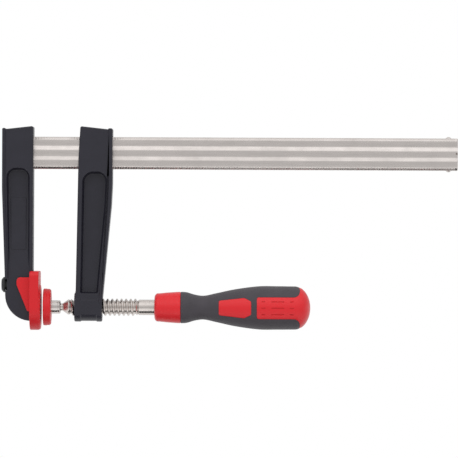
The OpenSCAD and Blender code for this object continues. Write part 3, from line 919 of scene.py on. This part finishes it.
def make_arm():
    """The sliding casting: body, back rib, side pockets, boss, the bar's slot and the tapped bore."""
    back_top = HEAD_TOP - HEAD_FALL
    rib_top = back_top + RIB_LIFT
    bend_z = BAR_Z0 - 22
    rib_x = ARM_BACK_X - ARM_RIB_L
    back = ARM_BACK_X - RIB_CREASE
    body = shape((ARM_X + 1.6, HEAD_TOP, 1.5), (back, back_top, 1.2), (back, bend_z, 200),
                 (BOSS_BACK_X + 0.1, BOSS_R / 2, 10), (BOSS_BACK_X - 0.3, 0, 1.2), (BOSS_X + 0.3, 0, 1.2),
                 (BOSS_X + 0.3, BOSS_R * 0.7, 3), (BOSS_X + 1.3, BOSS_R + 2, 4), (ARM_X, BAR_MID - 4.7, 30))
    arm = new_object("arm_body", cast_plate(body, 0, BODY_EDGE_R))
    pocket_low = BOSS_R - 0.3
    arch_top = BAR_Z0 - 2.5
    pocket = shape((rib_x - 1, arch_top, 8), (rib_x - 1, bend_z, 200),
                   (BOSS_BACK_X - ARM_RIB_L, pocket_low, 1.2), (BOSS_X + 5.4, pocket_low, 1.2),
                   (ARM_X + 3.8, arch_top, 9))
    combine(arm, pocket_tool(pocket, 0.9, 1.0, 0.9), "DIFFERENCE")
    rib_low = BOSS_R * 0.3
    rib = shape((ARM_BACK_X, rib_top, 1.2), (ARM_BACK_X, bend_z, 200), (BOSS_BACK_X, rib_low, 1),
                (BOSS_BACK_X + 0.7 - ARM_RIB_L, rib_low, 1), (rib_x, bend_z, 200), (rib_x, rib_top, 1))
    combine(arm, cast_plate(rib, RIB_PROUD, RIB_EDGE_R), "UNION")
    combine(arm, make_boss(), "UNION")
    combine(arm, box_mesh((BOSS_X, -BAR_T / 2 - SLOT_GAP, BAR_Z0 - SLOT_GAP),
                          (ARM_BACK_X + 5, BAR_T / 2 + SLOT_GAP, BAR_Z1 + SLOT_GAP)), "DIFFERENCE")
    bore = THREAD_R + THREAD_GAP
    flare = 0.8
    mouth = bore + 1 + flare
    combine(arm, lathe([(BOSS_X - 1, 0), (BOSS_X - 1, mouth), (BOSS_X + flare, bore),
                        (BOSS_BACK_X - flare, bore), (BOSS_BACK_X + 1, mouth), (BOSS_BACK_X + 1, 0)], 96),
            "DIFFERENCE")
    shade(arm)
    weighted(arm)
    place(arm, "sliding_arm_casting", PAINT, "arm", "painted_casting", "sliding_arm")


# ---------------------------------------------------------------- moving pad

PAD_X = PAD_LOW.x
PAD_BACK_X = PAD_HIGH.x
PAD_R = PAD_HIGH.y
SLEEVE_R = 5.85
SLEEVE_LIP_R = 3.95
SLEEVE_END_X = SLEEVE_HIGH.x


def make_moving_cap():
    """Red cap of the moving pad: flat round face, stepped rim and the lip that holds its plate."""
    inner = PAD_R - 2.2
    step_r = PAD_R - 0.25
    lip_x = PAD_BACK_X - CAP_LIP_T
    floor_x = PAD_X + 2.1
    bore = SLEEVE_R + CAP_GAP
    profile = soft_profile(
        [(PAD_X, 0), (PAD_X, PAD_R - 0.6, 0.5), (PAD_X + 0.6, PAD_R, 0.5), (PAD_X + 3.1, PAD_R, 0.3),
         (PAD_X + 3.4, step_r, 0.3), (PAD_BACK_X - 1.2, step_r, 0.6), (PAD_BACK_X, PAD_R - 1.2, 0.6),
         (PAD_BACK_X, bore, 0.3), (lip_x, bore, 0.3), (lip_x, inner, 0.3), (floor_x, inner, 0.3),
         (floor_x, 0)])
    cap = new_object("moving_cap", lathe(profile, 128))
    weighted(cap)
    place(cap, "moving_pad_cap_moulding", RED, "pad", "red_plastic", "moving_pad_cap")


def make_sleeve():
    """Drawn steel sleeve: flange in the pad, plain barrel, a rolled end over the ball's ring."""
    inner, flange_r, flange_t = 5.0, 9, 1
    flange_x = PAD_BACK_X - CAP_LIP_T - flange_t
    groove_r = SLEEVE_R - 0.25
    lip_r = SLEEVE_LIP_R
    end = SLEEVE_END_X
    profile = soft_profile(
        [(flange_x, inner), (flange_x, flange_r, 0.2), (flange_x + flange_t, flange_r, 0.2),
         (flange_x + flange_t, SLEEVE_R, 0.3), (end - 2.6, SLEEVE_R, 0.1), (end - 2.4, groove_r, 0.1),
         (end - 2.0, groove_r, 0.1), (end - 1.8, SLEEVE_R, 0.1), (end - 0.9, SLEEVE_R, 0.5),
         (end, SLEEVE_R - 0.9, 0.4), (end, lip_r, 0.3), (end - 0.8, lip_r, 0.2), (end - 0.8, inner, 0.2),
         (flange_x, inner)])
    sleeve = new_object("sleeve", lathe(profile, 96))
    weighted(sleeve)
    place(sleeve, "socket_sleeve_drawn", SLEEVE_STEEL, "pad", "pressed_steel", "socket_sleeve")


# ---------------------------------------------------------------- spindle

PITCH = 4.0
THREAD_DEPTH = 1.8
BALL_R = 4.0
NECK_R = 3.2
SHANK_R = 6.7
BALL_X = SPINDLE_LOW.x + BALL_R
CONE_X = SLEEVE_END_X + 1.8
THREAD_X = CONE_X + 4.9
THREAD_START_R = 6.6
THREAD_ROOT_R = THREAD_R - THREAD_DEPTH
HANDLE_X = CORE_LOW.x
SHANK_X = HANDLE_X - 13.6
TANG_L = 80.0
TANG_R = 5.0
TANG_FLAT = 4.3         # half the width across the tang's flats
# One turn of the thread: place as a share of the pitch, height as a share of the depth
THREAD_FORM = [(0.0, 0), (0.14, 0), (0.24, 0.1), (0.42, 0.88), (0.5, 1), (0.64, 1), (0.72, 0.88), (0.9, 0.1)]


def thread_grid(start, end):
    """The helical thread, its rows following the helix and fading out at both ends."""
    segments = 80
    turns = math.ceil((end - start) / PITCH) + 1
    bm = bmesh.new()
    rows = []
    for turn in range(-1, turns):
        for share, height in THREAD_FORM:
            row = []
            for k in range(segments + 1):
                x = start + (turn + share + k / segments) * PITCH
                fade_in = max(0.0, (x - start) / (PITCH * 0.6))
                fade_out = max(0.0, (end - x) / (PITCH * 0.45))
                x = min(end, max(start, x))
                r = THREAD_ROOT_R + THREAD_DEPTH * height * min(1.0, fade_in, fade_out)
                a = math.pi + math.tau * k / segments
                row.append(bm.verts.new((x, r * math.cos(a), r * math.sin(a))))
            rows.append(row)
    for a, b in zip(rows, rows[1:]):
        for k in range(segments):
            bm.faces.new((a[k], a[k + 1], b[k + 1], b[k]))
    bmesh.ops.remove_doubles(bm, verts=bm.verts, dist=1e-4)
    bmesh.ops.dissolve_degenerate(bm, edges=bm.edges, dist=1e-4)
    return bm


def make_spindle():
    """Ball, neck, cone, rolled thread, shank and the flatted tang inside the handle."""
    root = THREAD_ROOT_R
    steps = 14
    meet = math.asin(NECK_R / BALL_R)
    ball = [(BALL_X - BALL_R * math.cos(a), BALL_R * math.sin(a))
            for a in ((math.pi - meet) * i / steps for i in range(steps + 1))]
    front = ball + soft_profile(
        [(BALL_X + 3, NECK_R), (CONE_X, NECK_R, 0.6), (THREAD_X, THREAD_START_R, 0.4),
         (THREAD_X + 0.9, THREAD_START_R, 0.3), (THREAD_X + 1.3, root, 0.2), (THREAD_X + 2.2, root)])
    back = soft_profile(
        [(SHANK_X - 2, root), (SHANK_X - 0.6, root, 0.2), (SHANK_X, SHANK_R - 0.2, 0.3),
         (SHANK_X + 0.4, SHANK_R, 0.2), (HANDLE_X + 0.4, SHANK_R, 0.1), (HANDLE_X + 0.4, 0)])
    thread = thread_grid(THREAD_X + 1.0, SHANK_X - 0.4)
    spindle = join_bmesh((lathe(front, 80), thread, lathe(back, 80), tang()))
    body = new_object("spindle_body", spindle, 40)
    place(body, "spindle_rolled", SPINDLE_STEEL, "screw", "plated_spindle", "spindle")


def tang():
    """The spindle's round tang with two flats."""
    def ring(inset=0.0):
        r, flat = TANG_R - inset, TANG_FLAT - inset
        angles = (math.tau * k / 48 for k in range(48))
        return [Vector((r * math.cos(a), max(-flat, min(flat, r * math.sin(a))))) for a in angles]

    return plate(ring, TANG_L / 2, 0.4, in_yz, 2, HANDLE_X + TANG_L / 2)


# ---------------------------------------------------------------- handle

COLLAR_R = 13.55
COLLAR_END_X = HANDLE_X + 22.7
WAIST_R = 10.4
PALM_R = CORE_HIGH.z
HANDLE_END_X = CORE_HIGH.x
DOME_L = 13.4
DOME_X = HANDLE_END_X - DOME_L
GRIP_T = 2.2
GRIP_END_X = GRIP_HIGH.x
PANEL_DROP = 0.2
PANELS = 3
WINDOW_X = HANDLE_X + 56
WINDOW_L = 28.0
WINDOW_HALF_W = 6.3
TONGUE_X = WINDOW_X + WINDOW_L + 5
TONGUE_HALF_W = 9.4
SEAM = 0.12
TOOL_REACH = PALM_R + 4


def handle_outline(steps=8):
    """The handle's side from collar to dome as (x, radius): one smooth curve through its stations."""
    stations = [(HANDLE_X + 2.4, COLLAR_R - 1.3), (HANDLE_X + 12, COLLAR_R - 0.5),
                (COLLAR_END_X + 4, COLLAR_R),
                (COLLAR_END_X + 12.5, WAIST_R + 0.9), (COLLAR_END_X + 20.3, WAIST_R),
                (COLLAR_END_X + 31, WAIST_R + 2.2), (COLLAR_END_X + 47.5, PALM_R - 2.8),
                (COLLAR_END_X + 68, PALM_R - 0.1), (DOME_X - 14, PALM_R), (DOME_X, PALM_R - 0.1)]
    last = len(stations) - 1

    def slope(i):
        """The curve's slope at a station, level at both ends."""
        if i in (0, last):
            return 0
        return (stations[i + 1][1] - stations[i - 1][1]) / (stations[i + 1][0] - stations[i - 1][0])

    points = []
    for i in range(last):
        (ax, ar), (bx, br) = stations[i], stations[i + 1]
        d = bx - ax
        for s in range(steps):
            t = s / steps
            r = (ar * (1 + 2 * t) * (1 - t) ** 2 + br * t * t * (3 - 2 * t)
                 + slope(i) * d * t * (1 - t) ** 2 - slope(i + 1) * d * t * t * (1 - t))
            points.append((ax + d * t, r))
    for i in range(19):
        a = math.radians(i * 5)
        points.append((DOME_X + DOME_L * math.sin(a), (PALM_R - 0.1) * math.cos(a)))
    return points


OUTLINE = handle_outline()


def radius_at(x):
    """The handle's outer radius at a place along it."""
    if x <= OUTLINE[0][0]:
        return OUTLINE[0][1]
    for (ax, ar), (bx, br) in zip(OUTLINE, OUTLINE[1:]):
        if ax <= x <= bx:
            return ar + (br - ar) * (x - ax) / max(1e-9, bx - ax)
    return 0.0


def handle_slice(from_x, to_x, drop, segments=144):
    """A closed slice of the handle's form, its surface lowered by drop."""
    xs = [from_x] + [x for x, _ in OUTLINE if from_x < x < to_x] + [to_x]
    profile = [(from_x, 0)]
    for x in xs:
        r = radius_at(x) - drop
        if r > 0.05:
            profile.append((x, r))
    profile.append((min(to_x, HANDLE_END_X - drop), 0))
    return lathe(profile, segments)


def panel_tools(grow, reach):
    """Prisms through the panels' outlines, one by one; grow widens them."""
    shoulder = WINDOW_HALF_W + 2.5 + grow
    blunt = WINDOW_HALF_W + grow
    wide_x = WINDOW_X + WINDOW_L * 0.79
    window_end = WINDOW_X + WINDOW_L + grow
    window = shape(
        (WINDOW_X - grow, blunt, 1.5), (WINDOW_X - grow, -blunt, 1.5), (wide_x, -shoulder, 2.5),
        (window_end, 3 - shoulder, 1.5), (window_end, shoulder - 3, 1.5), (wide_x, shoulder, 2.5))
    half = TONGUE_HALF_W + grow
    wide = TONGUE_HALF_W + 7 + grow
    flare_x = GRIP_END_X - 1.2 - grow
    beyond_x = HANDLE_END_X + 2
    tongue = shape(
        (TONGUE_X - grow, half, 1.8), (TONGUE_X - grow, -half, 1.8), (flare_x, -half, 5.5 - grow),
        (flare_x + 0.6, -wide, 0.1), (beyond_x, -wide, 0.1), (beyond_x, wide, 0.1),
        (flare_x + 0.6, wide, 0.1), (flare_x, half, 5.5 - grow))
    for i in range(PANELS):
        turn = Matrix.Rotation(math.tau * i / PANELS, 4, "X")
        for ring in (window, tongue):
            bm = plate(ring, reach / 2, 0, in_xz, 0, -7 - reach / 2)
            bmesh.ops.transform(bm, matrix=turn, verts=bm.verts)
            yield bm


DASHES = ((TONGUE_X + 4, 3.2), (TONGUE_X + 12.6, 11), (TONGUE_X + 28.6, 3.2))    # start and length
DASH_ROW_TURN = math.radians(17)


def dash_tool():
    """Cutters for the three rows of short recessed dashes on each long panel."""
    depth = 0.8
    half_w = 0.5
    tools = []
    for i in range(PANELS):
        for row in (-1, 0, 1):
            for from_x, length in DASHES:
                angle = math.tau * i / PANELS + row * DASH_ROW_TURN
                surface = radius_at(from_x + length / 2) - PANEL_DROP
                end_x = from_x + length
                ring = shape(*((x, z, half_w * 0.9) for x, z in (
                    (from_x, -half_w), (end_x, -half_w), (end_x, half_w), (from_x, half_w))))
                bm = plate(ring, 1.5, 0, in_xz, 0, -surface - 1.5 + depth)
                bmesh.ops.transform(bm, matrix=Matrix.Rotation(angle, 4, "X"), verts=bm.verts)
                tools.append(bm)
    return join_bmesh(tools)


def make_core():
    """Red core with its collar, its raised panels and its dome."""
    under_grip = [COLLAR_END_X] + [x for x, _ in OUTLINE if COLLAR_END_X < x < GRIP_END_X]
    core = new_object("core_body", lathe(
        [(HANDLE_X, 0), (HANDLE_X, COLLAR_R - 5), (HANDLE_X + 0.15, COLLAR_R - 4.1),
         (HANDLE_X + 0.5, COLLAR_R - 3.1), (HANDLE_X + 1, COLLAR_R - 2.3), (HANDLE_X + 1.6, COLLAR_R - 1.7)]
        + [(x, r) for x, r in OUTLINE if x < COLLAR_END_X - 0.5]
        + [(COLLAR_END_X - 0.4, radius_at(COLLAR_END_X)), (COLLAR_END_X, radius_at(COLLAR_END_X) - 0.4)]
        + [(x, radius_at(x) - GRIP_T) for x in under_grip]
        + [(GRIP_END_X, radius_at(GRIP_END_X) - GRIP_T), (GRIP_END_X, radius_at(GRIP_END_X) - 0.3),
           (GRIP_END_X + 0.3, radius_at(GRIP_END_X + 0.3))]
        + [(x, r) for x, r in OUTLINE if x > GRIP_END_X + 0.4 and r > 0.05] + [(HANDLE_END_X, 0)], 144))
    for tool in panel_tools(0, TOOL_REACH):
        panel = new_object("panel", handle_slice(COLLAR_END_X + 4, GRIP_END_X + 2, PANEL_DROP))
        combine(panel, tool, "INTERSECT")
        combine(core, taken_mesh(panel), "UNION")
    combine(core, dash_tool(), "DIFFERENCE")
    shade(core, 30)
    weighted(core)
    place(core, "handle_core_moulding", HANDLE_RED, "screw", "red_plastic", "handle_core")


def make_grip():
    """The dark grip moulded round the core's panels, with a fine seam beside them."""
    between = [x for x, _ in OUTLINE if COLLAR_END_X + 0.5 < x < GRIP_END_X - 0.5]
    xs = [COLLAR_END_X] + between + [GRIP_END_X]
    outer = [(x, radius_at(x)) for x in xs]
    outer[0] = (COLLAR_END_X + 0.02, outer[0][1] - 0.5)
    outer.insert(1, (COLLAR_END_X + 0.5, radius_at(COLLAR_END_X + 0.5)))
    outer[-1] = (GRIP_END_X, outer[-1][1] - 0.3)
    outer.insert(-1, (GRIP_END_X - 0.3, radius_at(GRIP_END_X - 0.3)))
    inner = [(x, radius_at(x) - GRIP_T + 0.01) for x in reversed(xs)]
    grip = new_object("grip_body", closed_lathe(outer + inner, 144))
    for tool in panel_tools(SEAM, TOOL_REACH):
        combine(grip, tool, "DIFFERENCE")
    shade(grip, 30)
    weighted(grip)
    place(grip, "handle_grip_moulding", GRIP, "screw", "soft_grip", "handle_grip")


# ---------------------------------------------------------------- everything

bpy.context.scene.view_settings.view_transform = "Standard"
set_view()
set_world()
set_floor()
soft_box("upper_box", (0.15, -1.3, 0.85), (2.6, 1.1), 9)

HIDDEN = (("ball_retaining_ring", SLEEVE_STEEL, "spring_steel"),
          ("thrust_cup", BRONZE, "bronze"),
          ("pressure_plate", SLEEVE_STEEL, "pressed_steel"))
for name, material, slot in HIDDEN:
    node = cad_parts[name]
    node.data.materials.clear()
    node.data.materials.append(material)

make_bar()
make_fixed_jaw()
make_fixed_cap()
make_rivet()
make_arm()
make_moving_cap()
make_sleeve()
make_spindle()
make_core()
make_grip()
